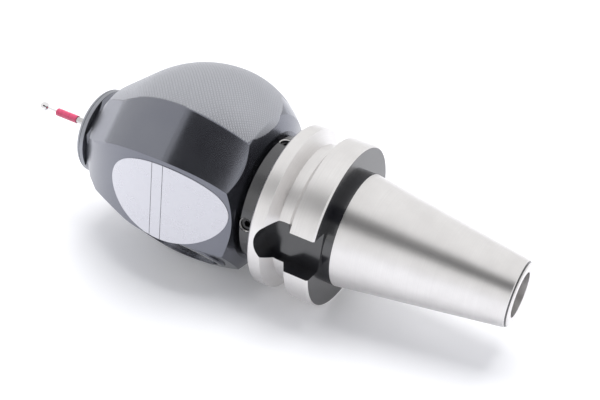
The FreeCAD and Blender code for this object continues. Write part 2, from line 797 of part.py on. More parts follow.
# --- gimbal and stylus ------------------------------------------------------------------------
def gimbal_ring():
    """Ring between the sleeve and the stylus holder, with bores for its four pins."""
    half = gimbal_thickness / 2.0
    body = disc(gimbal_outer_radius, pivot_height - half, pivot_height + half, gimbal_inner_radius)
    along_x = rod(gimbal_pin_radius, Vector(-big, 0, pivot_height), Vector(big, 0, pivot_height))
    along_y = rod(gimbal_pin_radius, Vector(0, -big, pivot_height), Vector(0, big, pivot_height))
    return body.cut(along_x.fuse(along_y))


def gimbal_pins():
    """Pins pressed in the ring: two reach out to the sleeve and two reach in to the holder."""
    outer = rod(gimbal_pin_radius, Vector(0, gimbal_inner_radius, pivot_height),
                Vector(0, gimbal_outer_radius + outer_pin_reach, pivot_height))
    inner = rod(gimbal_pin_radius, Vector(gimbal_inner_radius - inner_pin_reach, 0, pivot_height),
                Vector(gimbal_outer_radius, 0, pivot_height))
    return Part.makeCompound([outer, spun(outer, 180), inner, spun(inner, 180)])


def stylus_holder():
    """Stem with a hub that swings on the gimbal and takes the stylus in its front end."""
    half = holder_hub_height / 2.0
    hub = disc(holder_hub_radius, pivot_height - half, pivot_height + half)
    stem = disc(holder_stem_radius, pivot_height, holder_front)
    bore = disc(stud_radius, holder_front - stud_bore_depth, holder_front)
    hole = gimbal_pin_radius + gimbal_pin_play
    pin_hole = rod(hole, Vector(-big, 0, pivot_height), Vector(big, 0, pivot_height))
    return joined(hub, stem).cut(bore).cut(pin_hole)


def nose_ring():
    """Ring screwed into the nose: it stops the sleeve and holds the boot."""
    rear = nose_front + ring_gap
    shoulder = ring_front - ring_round
    seat = boot_seat()
    turn = ring_round * (1.0 - math.cos(math.radians(45)))
    corner = Vector(ring_radius - turn, 0, ring_front - turn)
    points = [Vector(ring_radius - ring_round, 0, ring_front), Vector(boot_seat_radius, 0, ring_front),
              Vector(boot_seat_radius, 0, seat), Vector(ring_bore_radius, 0, seat),
              Vector(ring_bore_radius, 0, sleeve_bore_front), Vector(ring_spigot_radius, 0, sleeve_bore_front),
              Vector(ring_spigot_radius, 0, rear), Vector(ring_radius, 0, rear),
              Vector(ring_radius, 0, shoulder)]
    edges = [Part.makeLine(a, b) for a, b in zip(points, points[1:])]
    edges.append(Part.Arc(points[-1], corner, points[0]).toShape())
    return swung(Part.Face(Part.Wire(edges)))


def boot_seat():
    """Height of the boot's seat in the nose ring."""
    return ring_front - boot_bead_height - clip_thickness - ring_round / 2.0


def nose_boot():
    """Rubber bellows that seals the nose round the stylus holder."""
    seat = boot_seat()
    top = seat + boot_bead_height
    grip = holder_stem_radius
    lip = holder_front - boot_lip_setback
    fold = (lip - top) / len(boot_folds)
    outer = boot_seat_radius - clip_width
    width = (outer - grip - 2.0 * boot_wall) / 3.0
    corners = [(outer - width * inwards, top + fold * upwards) for inwards, upwards in boot_folds]
    inner = [(radius - boot_wall, height - boot_wall) for radius, height in reversed(corners)]
    return turned([
        (ring_bore_radius, seat), (boot_seat_radius, seat), (boot_seat_radius, top), (outer, top),
        (outer, top + fold), *corners, (grip + 2.0 * boot_wall, lip - boot_wall), (grip + boot_wall, lip),
        (grip, lip), (grip, lip - 2.0 * boot_wall), *inner, (ring_bore_radius, top + fold - boot_wall)])


def boot_clip():
    """Ring that holds the bead of the boot in the nose ring."""
    low = boot_seat() + boot_bead_height
    return disc(boot_seat_radius, low, low + clip_thickness, boot_seat_radius - clip_width)


def stylus_stud():
    """Steel base of the stylus: threaded end, hexagon and stem with a pin for the sleeve."""
    hex_top = holder_front + stud_hex_height
    thread = disc(stud_radius, holder_front - stud_engagement, holder_front)
    nut = hexagon(stud_hex_corner, holder_front, hex_top)
    stem = disc(stem_radius, hex_top, sleeve_start)
    pin = disc(tip_pin_radius, sleeve_start, sleeve_start + tip_pin_seat)
    return joined(thread, nut, stem, pin)


def break_sleeve():
    """Coloured sleeve that breaks before the tool is harmed."""
    edge = break_sleeve_chamfer
    body = turned([(0, sleeve_start), (break_sleeve_radius, sleeve_start),
                   (break_sleeve_radius, sleeve_end - edge), (break_sleeve_radius - edge, sleeve_end),
                   (0, sleeve_end)])
    rear_bore = disc(tip_pin_radius, sleeve_start, sleeve_start + tip_pin_seat)
    front_bore = disc(tip_pin_radius, sleeve_end - tip_pin_seat, sleeve_end)
    return body.cut(rear_bore.fuse(front_bore))


def ball_tip():
    """Ball on a thin pin that is fixed in the sleeve."""
    ball = Part.makeSphere(ball_radius, Vector(0, 0, ball_centre))
    return joined(ball, disc(tip_pin_radius, sleeve_end - tip_pin_seat, ball_centre))


# --- laying the tool down ---------------------------------------------------------------------
def rest_tilt():
    """Angle that raises the nose when the tool lies on a label facet and the rim of the flange.

    The bench line passes the flange's rim and touches the rear arc of the facet's profile.
    """
    reach, middle, rear = label_facet[:3]
    along = middle - flange_gap - flange_chamfer
    drop = flange_radius - (reach - rear)
    return math.asin(rear / math.hypot(along, drop)) - math.atan2(drop, along)


def lay_down(shapes):
    """Lays every shape on its resting facet, with the origin under the middle of the whole."""
    onto_facet = Base.Rotation(Vector(0, 0, 1), -facet_step)
    to_bench = Base.Rotation(Vector(0, -1, 0), Vector(0, 0, 1), Vector(-1, 0, 0), "XYZ")
    nose_up = Base.Rotation(Vector(0, 1, 0), math.degrees(rest_tilt()))
    turn = nose_up.multiply(to_bench).multiply(onto_facet)
    laid = {}
    for name, shape in shapes.items():
        copy = shape.copy()
        copy.Placement = Base.Placement(Vector(0, 0, 0), turn).multiply(copy.Placement)
        laid[name] = copy
    box = Part.makeCompound(list(laid.values())).optimalBoundingBox(False, False)
    origin = Vector((box.XMin + box.XMax) / 2.0, (box.YMin + box.YMax) / 2.0, box.ZMin)
    for shape in laid.values():
        shape.translate(origin.negative())
    return laid, Base.Placement(origin.negative(), turn)


pieces = {
    "taper_shank": taper_shank(), "centring_screws": centring_screws(), "clamp_screw": clamp_screw(),
    "clamp_washer": clamp_washer(), "housing": housing(), "label_plate": label_plate(),
    "bezel": bezel(), "dial_glass": dial_glass(), "glass_gasket": glass_gasket(),
    "dial_plate": dial_plate(), "dial_spacer": dial_spacer(), "front_plate": front_plate(),
    "rear_plate": rear_plate(), "plate_pillars": plate_pillars(), "centre_arbor": centre_arbor(),
    "main_hand": main_hand(), "rack_arbor": rack_arbor(), "rack_wheel": rack_wheel(),
    "small_hand": small_hand(), "take_up_arbor": take_up_arbor(), "take_up_wheel": take_up_wheel(),
    "hairspring": hairspring(), "plunger": plunger(), "rack_arm": rack_arm(), "arm_nut": arm_nut(),
    "guide_bush": guide_bush(), "return_spring": return_spring(), "guide_sleeve": guide_sleeve(),
    "gimbal_ring": gimbal_ring(), "gimbal_pins": gimbal_pins(), "stylus_holder": stylus_holder(),
    "nose_ring": nose_ring(), "nose_boot": nose_boot(), "boot_clip": boot_clip(),
    "stylus_stud": stylus_stud(), "break_sleeve": break_sleeve(), "ball_tip": ball_tip(),
}
laid_pieces, resting_place = lay_down(pieces)
os.makedirs("parts", exist_ok=True)
for name, shape in laid_pieces.items():
    shape.exportStep("parts/" + name + ".step")
    print(name, "solids", len(shape.Solids), "volume", round(shape.Volume, 3), "valid", shape.isValid())
print("resting place", resting_place)
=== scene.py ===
"""Dresses the dial edge finder: finishes, knurling, threads, dial print, light and camera."""

import json
import logging
import math
from dataclasses import dataclass
from enum import Enum

import bpy
import numpy as np
from mathutils import Matrix, Vector


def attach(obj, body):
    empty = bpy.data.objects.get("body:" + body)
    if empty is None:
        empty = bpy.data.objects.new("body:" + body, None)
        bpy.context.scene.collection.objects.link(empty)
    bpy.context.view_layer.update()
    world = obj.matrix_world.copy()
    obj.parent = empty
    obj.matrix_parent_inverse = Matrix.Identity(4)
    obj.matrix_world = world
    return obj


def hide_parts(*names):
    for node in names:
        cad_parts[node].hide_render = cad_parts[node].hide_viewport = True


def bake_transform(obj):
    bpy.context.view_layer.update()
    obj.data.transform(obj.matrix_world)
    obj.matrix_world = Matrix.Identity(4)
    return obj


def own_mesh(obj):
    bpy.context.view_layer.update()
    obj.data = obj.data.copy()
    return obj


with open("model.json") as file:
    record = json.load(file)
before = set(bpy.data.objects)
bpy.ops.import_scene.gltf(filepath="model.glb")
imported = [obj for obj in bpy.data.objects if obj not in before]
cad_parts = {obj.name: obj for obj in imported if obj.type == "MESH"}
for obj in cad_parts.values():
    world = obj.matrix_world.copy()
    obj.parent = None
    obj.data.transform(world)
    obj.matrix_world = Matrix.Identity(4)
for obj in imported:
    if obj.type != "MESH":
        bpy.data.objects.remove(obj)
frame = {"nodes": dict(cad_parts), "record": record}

MM = 0.001
Colour = tuple[float, float, float]
log = logging.getLogger("edge_finder")


# --- places --------------------------------------------------------------------------------------
@dataclass(frozen=True)
class ToolFrame:
    """The spindle's frame: origin on the gauge line, Z towards the ball, X out of the dial."""

    origin: Vector
    out: Vector
    forward: Vector
    dial_centre: float = 58.0 * MM

    @classmethod
    def from_record(cls, record: dict) -> "ToolFrame":
        """Reads the frame from the spindle taper's mount and the main hand's axis.

        Args:
            record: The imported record.

        Returns:
            The spindle's frame.
        """
        taper = next(m for m in record["mounts"] if m["name"] == "spindle_taper")
        hand = next(j for j in record["behaviour"]["joints"] if j["name"] == "main_hand_turn")
        forward = -Vector(taper["axis"]).normalized()
        out = Vector(hand["axis"]).normalized()
        return cls(Vector(taper["pos_m"]), out, forward)

    def matrix(self) -> Matrix:
        """Carries the spindle's frame to the row frame."""
        side = self.forward.cross(self.out).normalized()
        turn = Matrix((self.out, side, self.forward)).transposed()
        return Matrix.Translation(self.origin) @ turn.to_4x4()

    def dial_matrix(self) -> Matrix:
        """Carries the dial's frame, X right, Y up and Z out of the dial, to the row frame."""
        turn = Matrix(((0, -1, 0), (0, 0, -1), (1, 0, 0))).transposed().to_4x4()
        return self.matrix() @ Matrix.Translation((0, 0, self.dial_centre)) @ turn


@dataclass(frozen=True)
class Profile:
    """Height of a facet or of the barrel over the spindle axis, in millimetres."""

    reach: float
    middle: float
    rear_arc: float
    front_arc: float
    slope: float

    def height(self, z: np.ndarray) -> np.ndarray:
        """Height over the axis at each place along it.

        Args:
            z: Places along the axis.

        Returns:
            Heights at those places.
        """
        lean = math.atan(self.slope)
        run_z = self.middle + self.front_arc * math.sin(lean)
        run_height = self.reach - self.front_arc * (1.0 - math.cos(lean))
        rear = np.clip(self.rear_arc**2 - (z - self.middle) ** 2, 0.0, None)
        front = np.clip(self.front_arc**2 - (z - self.middle) ** 2, 0.0, None)
        behind = self.reach - self.rear_arc + np.sqrt(rear)
        crown = self.reach - self.front_arc + np.sqrt(front)
        run = run_height - self.slope * (z - run_z)
        return np.where(z < self.middle, behind, np.where(z < run_z, crown, run))


# --- mesh helpers --------------------------------------------------------------------------------
def clear_selection() -> None:
    """Deselects every object."""
    bpy.ops.object.select_all(action="DESELECT")


def make_active(piece: bpy.types.Object) -> None:
    """Selects one object alone and makes it active."""
    clear_selection()
    piece.select_set(True)
    bpy.context.view_layer.objects.active = piece


def apply_modifiers(piece: bpy.types.Object) -> None:
    """Applies every modifier of a piece."""
    make_active(piece)
    for modifier in list(piece.modifiers):
        bpy.ops.object.modifier_apply(modifier=modifier.name)


def settle(piece: bpy.types.Object, name: str, carry: Matrix) -> bpy.types.Object:
    """Names a piece and bakes its place into its mesh, with its object at the origin.

    Args:
        piece: The finished mesh object, in a sub-assembly's own frame.
        name: The piece's name.
        carry: Carries that frame to the row frame.

    Returns:
        The same piece.
    """
    bpy.context.view_layer.update()
    piece.data.transform(carry @ piece.matrix_world)
    piece.matrix_world = Matrix.Identity(4)
    piece.name = name
    piece.data.name = name
    return piece


def smooth(piece: bpy.types.Object, degrees: float = 35.0) -> None:
    """Shades a piece smooth across edges flatter than an angle."""
    make_active(piece)
    bpy.ops.object.shade_smooth_by_angle(angle=math.radians(degrees))


def face_outwards(piece: bpy.types.Object) -> None:
    """Merges doubled points and turns every face outwards."""
    make_active(piece)
    bpy.ops.object.mode_set(mode="EDIT")
    bpy.ops.mesh.select_all(action="SELECT")
    bpy.ops.mesh.remove_doubles(threshold=1e-7)
    bpy.ops.mesh.normals_make_consistent(inside=False)
    bpy.ops.object.mode_set(mode="OBJECT")


def join(pieces: list[bpy.types.Object]) -> bpy.types.Object:
    """Joins several pieces into the first of them."""
    clear_selection()
    for piece in pieces:
        piece.select_set(True)
    bpy.context.view_layer.objects.active = pieces[0]
    bpy.ops.object.join()
    return pieces[0]


def revolve(corners: list[tuple[float, float]], cuts: int = 3, steps: int = 72) -> bpy.types.Object:
    """Turns a closed outline about the Z axis.

    Args:
        corners: Corners of the outline, each a radius and a height in millimetres.
        cuts: Extra points on each side of the outline.
        steps: Steps in the whole turn.

    Returns:
        The turned piece, facing outwards.
    """
    clear_selection()
    bpy.ops.mesh.primitive_circle_add(vertices=len(corners), radius=1.0, fill_type="NOTHING")
    outline = bpy.context.object
    for vertex, (radius, height) in zip(outline.data.vertices, corners):
        vertex.co = Vector((radius, 0.0, height)) * MM
    bpy.ops.object.mode_set(mode="EDIT")
    bpy.ops.mesh.select_all(action="SELECT")
    bpy.ops.mesh.subdivide(number_cuts=cuts)
    bpy.ops.object.mode_set(mode="OBJECT")
    turn = outline.modifiers.new("turn", "SCREW")
    turn.steps = turn.render_steps = steps
    turn.use_merge_vertices = True
    turn.merge_threshold = 1e-6
    turn.use_smooth_shade = False
    apply_modifiers(outline)
    face_outwards(outline)
    smooth(outline)
    return outline


# --- node helpers --------------------------------------------------------------------------------
class Tree:
    """Short ways to add and link nodes in one node tree."""

    def __init__(self, tree: bpy.types.NodeTree) -> None:
        """Takes the tree that nodes are added to."""
        self.tree = tree

    def node(self, kind: str, inputs: dict | None = None, **settings: object) -> bpy.types.Node:
        """Adds a node.

        Args:
            kind: The node's type.
            inputs: Values or sockets for its inputs, by name or number.
            settings: Other properties of the node.

        Returns:
            The node.
        """
        made = self.tree.nodes.new(kind)
        for key, value in settings.items():
            setattr(made, key, value)
        for key, value in (inputs or {}).items():
            self.feed(made.inputs[key], value)
        return made

    def feed(self, socket: bpy.types.NodeSocket, value: object) -> None:
        """Links a socket to an input, or sets the input's own value."""
        if isinstance(value, bpy.types.NodeSocket):
            self.tree.links.new(value, socket)
        else:
            socket.default_value = value

    def math(self, operation: str, *values: object) -> bpy.types.NodeSocket:
        """Adds a math node and returns its result."""
        made = self.node("ShaderNodeMath", operation=operation)
        for number, value in enumerate(values):
            self.feed(made.inputs[number], value)
        return made.outputs[0]

    def mix(self, share: object, first: object, second: object) -> bpy.types.NodeSocket:
        """Mixes two colours and returns the result."""
        made = self.node("ShaderNodeMix", data_type="RGBA")
        for name, value in (("Factor_Float", share), ("A_Color", first), ("B_Color", second)):
            socket = next(s for s in made.inputs if s.identifier == name)
            self.feed(socket, value if not isinstance(value, tuple) else (*value, 1.0)[:4])
        return next(s for s in made.outputs if s.identifier == "Result_Color")

    def blend(self, share: object, first: object, second: object) -> bpy.types.NodeSocket:
        """Mixes two numbers and returns the result."""
        made = self.node("ShaderNodeMix", data_type="FLOAT")
        for name, value in (("Factor_Float", share), ("A_Float", first), ("B_Float", second)):
            self.feed(next(s for s in made.inputs if s.identifier == name), value)
        return next(s for s in made.outputs if s.identifier == "Result_Float")

    def inside(self, value: object, low: float, high: float) -> bpy.types.NodeSocket:
        """One where a value lies between two limits, otherwise nothing."""
        above = self.math("GREATER_THAN", value, low)
        return self.math("MULTIPLY", above, self.math("LESS_THAN", value, high))


class Effect(Enum):
    """Effects that several finishes share."""

    TURNED = "turned_grain"
    CLOUD = "handling_cloud"
    PITS = "fine_pits"


class Effects:
    """Builds each shared effect once, as a node group."""

    def __init__(self) -> None:
        """Starts with no groups."""
        self.made: dict[Effect, bpy.types.NodeTree] = {}

    def group(self, effect: Effect) -> bpy.types.NodeTree:
        """The node group of an effect, built the first time it is asked for."""
        if effect not in self.made:
            maker = {Effect.TURNED: self.turned, Effect.CLOUD: self.cloud, Effect.PITS: self.pits}[effect]
            self.made[effect] = maker()
        return self.made[effect]

    @staticmethod
    def start(name: str, inputs: dict[str, float], outputs: list[str]) -> tuple[Tree, object, object]:
        """Starts a group with a Vector input, number inputs and number outputs."""
        tree = bpy.data.node_groups.new(name, "ShaderNodeTree")
        tree.interface.new_socket("Vector", in_out="INPUT", socket_type="NodeSocketVector")
        for socket, value in inputs.items():
            made = tree.interface.new_socket(socket, in_out="INPUT", socket_type="NodeSocketFloat")
            made.default_value = value
        for socket in outputs:
            tree.interface.new_socket(socket, in_out="OUTPUT", socket_type="NodeSocketFloat")
        nodes = Tree(tree)
        return nodes, nodes.node("NodeGroupInput"), nodes.node("NodeGroupOutput")

    def turned(self) -> bpy.types.NodeTree:
        """Fine rings of a turned or ground surface about the Z axis."""
        nodes, entry, leave = self.start("turned_grain", {"Fineness": 8.0, "Wander": 0.02}, ["Rings"])
        parts = nodes.node("ShaderNodeSeparateXYZ", {0: entry.outputs["Vector"]})
        flat = nodes.node("ShaderNodeCombineXYZ", {0: parts.outputs[0], 1: parts.outputs[1]})
        radius = nodes.node("ShaderNodeVectorMath", {0: flat.outputs[0]}, operation="LENGTH")
        across = nodes.math("MULTIPLY", radius.outputs["Value"], entry.outputs["Fineness"])
        along = nodes.math("MULTIPLY", parts.outputs[2], entry.outputs["Fineness"])
        drift = nodes.math("MULTIPLY", parts.outputs[0], entry.outputs["Wander"])
        place = nodes.node("ShaderNodeCombineXYZ", {0: across, 1: along, 2: drift})
        noise = nodes.node("ShaderNodeTexNoise", {"Vector": place.outputs[0], "Scale": 1.0, "Detail": 3.0})
        nodes.feed(leave.inputs["Rings"], noise.outputs[0])
        return nodes.tree

    def cloud(self) -> bpy.types.NodeTree:
        """Soft uneven patches left by handling and oil."""
        nodes, entry, leave = self.start("handling_cloud", {"Scale": 0.15, "Contrast": 1.0}, ["Patches"])
        noise = nodes.node("ShaderNodeTexNoise", {
            "Vector": entry.outputs["Vector"], "Scale": entry.outputs["Scale"],
            "Detail": 4.0, "Roughness": 0.55})
        middle = nodes.math("SUBTRACT", noise.outputs[0], 0.5)
        wide = nodes.math("MULTIPLY", middle, entry.outputs["Contrast"])
        lifted = nodes.node("ShaderNodeMath", {0: wide, 1: 0.5}, operation="ADD", use_clamp=True)
        nodes.feed(leave.inputs["Patches"], lifted.outputs[0])
        return nodes.tree

    def pits(self) -> bpy.types.NodeTree:
        """Fine pits of an etched or moulded surface."""
        nodes, entry, leave = self.start("fine_pits", {"Scale": 6.0}, ["Pits"])
        cells = nodes.node("ShaderNodeTexVoronoi", {
            "Vector": entry.outputs["Vector"], "Scale": entry.outputs["Scale"]}, feature="F1")
        nodes.feed(leave.inputs["Pits"], cells.outputs["Distance"])
        return nodes.tree


class Surface:
    """One material in the making: a Principled shader with coordinates in the spindle's frame."""

    def __init__(self, name: str, tool: ToolFrame, effects: Effects) -> None:
        """Starts the material with object coordinates in millimetres of the spindle's frame."""
        self.material = bpy.data.materials.new(name)
        self.material.use_nodes = True
        self.effects = effects
        tree = self.material.node_tree
        self.nodes = Tree(tree)
        self.shader = next(n for n in tree.nodes if n.type == "BSDF_PRINCIPLED")
        turn = tool.matrix().to_3x3().inverted()
        shift = -(turn @ tool.origin) / MM
        coordinates = self.nodes.node("ShaderNodeTexCoord")
        mapping = self.nodes.node("ShaderNodeMapping", {
            "Vector": coordinates.outputs["Object"], "Location": shift, "Rotation": turn.to_euler("XYZ"),
            "Scale": (1.0 / MM,) * 3})
        self.vector = mapping.outputs[0]
        parts = self.nodes.node("ShaderNodeSeparateXYZ", {0: self.vector})
        self.x, self.y, self.z = parts.outputs
        across, aside = (self.nodes.math("POWER", value, 2.0) for value in (self.x, self.y))
        self.radius = self.nodes.math("SQRT", self.nodes.math("ADD", across, aside))

    def effect(self, effect: Effect, output: str, **values: float) -> bpy.types.NodeSocket:
        """Places a shared effect with its own values and returns one of its outputs."""
        made = self.nodes.node("ShaderNodeGroup", node_tree=self.effects.group(effect))
        self.nodes.feed(made.inputs["Vector"], self.vector)
        for key, value in values.items():
            made.inputs[key].default_value = value
        return made.outputs[output]

    def shift(self, value: object, middle: float, spread: float) -> bpy.types.NodeSocket:
        """Carries a pattern from 0..1 to a middle value plus or minus a spread."""
        return self.nodes.math("MULTIPLY_ADD", value, 2.0 * spread, middle - spread)

    def bump(self, height: object, distance: float) -> None:
        """Feeds a height in millimetres to the shader's normal."""
        made = self.nodes.node("ShaderNodeBump", {
            "Height": height, "Distance": distance * MM, "Strength": 1.0})
        self.nodes.feed(self.shader.inputs["Normal"], made.outputs[0])

    def set(self, **values: object) -> None:
        """Sets or links inputs of the shader; an underscore in a name stands for a space."""
        for key, value in values.items():
            name = key.replace("_", " ")
            if isinstance(value, tuple) and len(value) == 3:
                value = (*value, 1.0)
            self.nodes.feed(self.shader.inputs[name], value)


# --- finishes ------------------------------------------------------------------------------------
@dataclass(frozen=True)
class TurnedMetal:
    """Plain turned, ground or drawn metal with fine rings and faint handling marks."""

    name: str
    light: Colour
    dark: Colour
    roughness: float
    fineness: float = 9.0
    wander: float = 0.03
    depth: float = 0.0012
    patch_scale: float = 0.12
    patch_contrast: float = 1.3
    spread: float = 0.05

    def build(self, tool: ToolFrame, effects: Effects) -> bpy.types.Material:
        """Makes the material."""
        s = Surface(self.name, tool, effects)
        rings = s.effect(Effect.TURNED, "Rings", Fineness=self.fineness, Wander=self.wander)
        patches = s.effect(Effect.CLOUD, "Patches", Scale=self.patch_scale, Contrast=self.patch_contrast)
        share = s.nodes.math("MULTIPLY", rings, patches)
        s.set(Base_Color=s.nodes.mix(share, self.dark, self.light), Metallic=1.0,
              Roughness=s.shift(patches, self.roughness, self.spread))
        s.bump(rings, self.depth)
        return s.material


@dataclass(frozen=True)
class HolderFinish:
    """Ground taper and flange rim, black oxide on the hub, the slots and the collar.

    Lengths are in millimetres in the spindle's frame, and the slot angle in degrees.
    """

    name: str = "holder_ground_and_oxide"
    steel: Colour = (0.86, 0.845, 0.84)
    steel_dark: Colour = (0.70, 0.685, 0.68)
    steel_roughness: float = 0.35
    oxide: Colour = (0.008, 0.009, 0.013)
    oxide_worn: Colour = (0.022, 0.021, 0.023)
    oxide_roughness: float = 0.20
    oxide_ior: float = 1.9
    spread: float = 0.04
    fineness: float = 9.0
    wander: float = 0.02
    patch_scale: float = 0.09
    patch_contrast: float = 1.6
    grain_gain: float = 1.4
    grain_base: float = 0.1
    oxide_relief: float = 0.2
    depth: float = 0.0010
    hub_start: float = -1.65
    rear_face: float = 2.0
    front_face: float = 27.0
    face_margin: float = 0.03
    rim_root: float = 26.4
    slot_angle: float = 49.0
    slot_half: float = 8.07
    slot_round: float = 16.45
    screw_row: float = 31.8
    screw_hole: float = 2.45
    screw_mouth: float = 2.8
    collar_skin: tuple[float, float] = (23.7, 24.43)
    small_end: float = -65.4
    edge_radius: float = 11.0
    edge_from: float = 0.4
    edge_to: float = 0.95

    def build(self, tool: ToolFrame, effects: Effects) -> bpy.types.Material:
        """Makes the material, with its masks in the spindle's frame."""
        s = Surface(self.name, tool, effects)
        n = s.nodes
        ground = self.ground_mask(s)
        rings = s.effect(Effect.TURNED, "Rings", Fineness=self.fineness, Wander=self.wander)
        patches = s.effect(Effect.CLOUD, "Patches", Scale=self.patch_scale, Contrast=self.patch_contrast)
        share = n.math("MULTIPLY_ADD", n.math("MULTIPLY", rings, patches), self.grain_gain, self.grain_base)
        steel = n.mix(share, self.steel_dark, self.steel)
        oxide = n.mix(patches, self.oxide, self.oxide_worn)
        dull = s.shift(patches, self.oxide_roughness, self.spread)
        satin = s.shift(rings, self.steel_roughness, self.spread)
        s.set(Base_Color=n.mix(ground, oxide, steel), Metallic=ground,
              Roughness=n.blend(ground, dull, satin), IOR=self.oxide_ior)
        relief = n.blend(ground, self.oxide_relief, 1.0)
        s.bump(n.math("MULTIPLY", rings, relief), self.depth)
        return s.material

    def ground_mask(self, s: Surface) -> bpy.types.NodeSocket:
        """One on ground steel, nothing on black oxide."""
        n = s.nodes
        taper = n.math("LESS_THAN", s.z, self.hub_start)
        turn = math.radians(self.slot_angle)
        cosine, sine = math.cos(turn), math.sin(turn)
        along = n.math("ADD", n.math("MULTIPLY", s.x, cosine), n.math("MULTIPLY", s.y, sine))
        aside = n.math("SUBTRACT", n.math("MULTIPLY", s.y, cosine), n.math("MULTIPLY", s.x, sine))
        across = n.math("ABSOLUTE", aside)
        outside_slot = n.math("GREATER_THAN", self.reach(n, across, self.past_slot(s)), self.slot_half)
        between = n.inside(s.z, self.rear_face + self.face_margin, self.front_face - self.face_margin)
        rim = n.math("MULTIPLY", between, n.math("GREATER_THAN", s.radius, self.rim_root))
        rim = n.math("MULTIPLY", rim, outside_slot)
        nearest = n.math("MINIMUM", across, n.math("ABSOLUTE", along))
        hole = self.reach(n, nearest, n.math("SUBTRACT", s.z, self.screw_row))
        mouth = n.math("MULTIPLY", n.inside(hole, self.screw_hole, self.screw_mouth),
                       n.inside(s.radius, *self.collar_skin))
        at_edge = n.inside(s.z, self.small_end + self.edge_from, self.small_end + self.edge_to)
        edge = n.math("MULTIPLY", at_edge, n.math("GREATER_THAN", s.radius, self.edge_radius))
        bright = n.math("MAXIMUM", n.math("MAXIMUM", taper, rim), mouth)
        return n.math("MULTIPLY", bright, n.math("SUBTRACT", 1.0, edge))

    def past_slot(self, s: Surface) -> bpy.types.NodeSocket:
        """How far a point lies in front of the centre of the slot's round end."""
        return s.nodes.math("MAXIMUM", s.nodes.math("SUBTRACT", s.z, self.slot_round), 0.0)

    @staticmethod
    def reach(nodes: Tree, first: object, second: object) -> bpy.types.NodeSocket:
        """Length of the long side over two legs."""
        squares = nodes.math("ADD", nodes.math("POWER", first, 2.0), nodes.math("POWER", second, 2.0))
        return nodes.math("SQRT", squares)


@dataclass(frozen=True)
class Anodised:
    """Black anodised aluminium with a fine cutter grain, turned bright bands at the nose."""

    name: str = "anodised_body"
    base: Colour = (0.180, 0.186, 0.218)
    # Lighter tone: random handling wear where the patches mix it in, a painted highlight where the crest
    # attribute does.
    worn: Colour = (0.205, 0.212, 0.240)
    band: Colour = (0.42, 0.42, 0.44)
    band_start: float = 105.05
    band_end: float = 108.0
    band_middle: float = 0.5
    band_spread: float = 0.4
    roughness: float = 0.22
    spread: float = 0.04
    crest: str = ""
    fineness: float = 2.2
    wander: float = 0.35
    patch_scale: float = 0.07
    patch_contrast: float = 1.5
    pit_scale: float = 4.5
    ring_share: float = 0.6
    depth: float = 0.006
    coat: float = 0.15
    coat_roughness: float = 0.3

    def build(self, tool: ToolFrame, effects: Effects) -> bpy.types.Material:
        """Makes the material; with a crest attribute its high points take the lighter colour, a painted
        highlight.
        """
        s = Surface(self.name, tool, effects)
        n = s.nodes
        rings = s.effect(Effect.TURNED, "Rings", Fineness=self.fineness, Wander=self.wander)
        patches = s.effect(Effect.CLOUD, "Patches", Scale=self.patch_scale, Contrast=self.patch_contrast)
        pits = s.effect(Effect.PITS, "Pits", Scale=self.pit_scale)
        # The crest attribute paints a highlight on the knurl's crests in the lighter colour.
        if self.crest:
            crest = n.node("ShaderNodeAttribute", attribute_name=self.crest).outputs["Fac"]
            colour = n.mix(crest, self.base, self.worn)
        else:
            band = n.math("MULTIPLY", n.inside(s.z, self.band_start, self.band_end),
                          s.shift(rings, self.band_middle, self.band_spread))
            colour = n.mix(band, n.mix(patches, self.base, self.worn), self.band)
        s.set(Base_Color=colour, Metallic=0.9, Roughness=s.shift(patches, self.roughness, self.spread),
              Coat_Weight=self.coat, Coat_Roughness=self.coat_roughness)
        grain = n.math("MULTIPLY", rings, self.ring_share)
        s.bump(n.math("ADD", grain, n.math("MULTIPLY", pits, 1.0 - self.ring_share)), self.depth)
        return s.material


@dataclass(frozen=True)
class RingBlack:
    """Black nose ring with a turned groove line, the groove painted near-black as shade."""

    name: str = "nose_ring_black"
    base: Colour = (0.28, 0.29, 0.315)
    worn: Colour = (0.36, 0.37, 0.40)
    groove_colour: Colour = (0.006, 0.006, 0.007)
    groove: float = 112.1
    groove_width: float = 0.16
    groove_depth: float = 0.04
    ring_relief: float = 0.05
    roughness: float = 0.38
    spread: float = 0.08
    fineness: float = 5.0
    wander: float = 0.02
    patch_scale: float = 0.2
    patch_contrast: float = 1.2

    def build(self, tool: ToolFrame, effects: Effects) -> bpy.types.Material:
        """Makes the material."""
        s = Surface(self.name, tool, effects)
        n = s.nodes
        rings = s.effect(Effect.TURNED, "Rings", Fineness=self.fineness, Wander=self.wander)
        patches = s.effect(Effect.CLOUD, "Patches", Scale=self.patch_scale, Contrast=self.patch_contrast)
        half = self.groove_width / 2.0
        line = n.inside(s.z, self.groove - half, self.groove + half)
        colour = n.mix(patches, self.base, self.worn)
        # The groove line is painted near-black: painted shade in the groove, over the real dent in the
        # bump.
        s.set(Base_Color=n.mix(line, colour, self.groove_colour), Metallic=0.9,
              Roughness=s.shift(rings, self.roughness, self.spread))
        s.bump(n.math("SUBTRACT", n.math("MULTIPLY", rings, self.ring_relief), line), self.groove_depth)
        return s.material


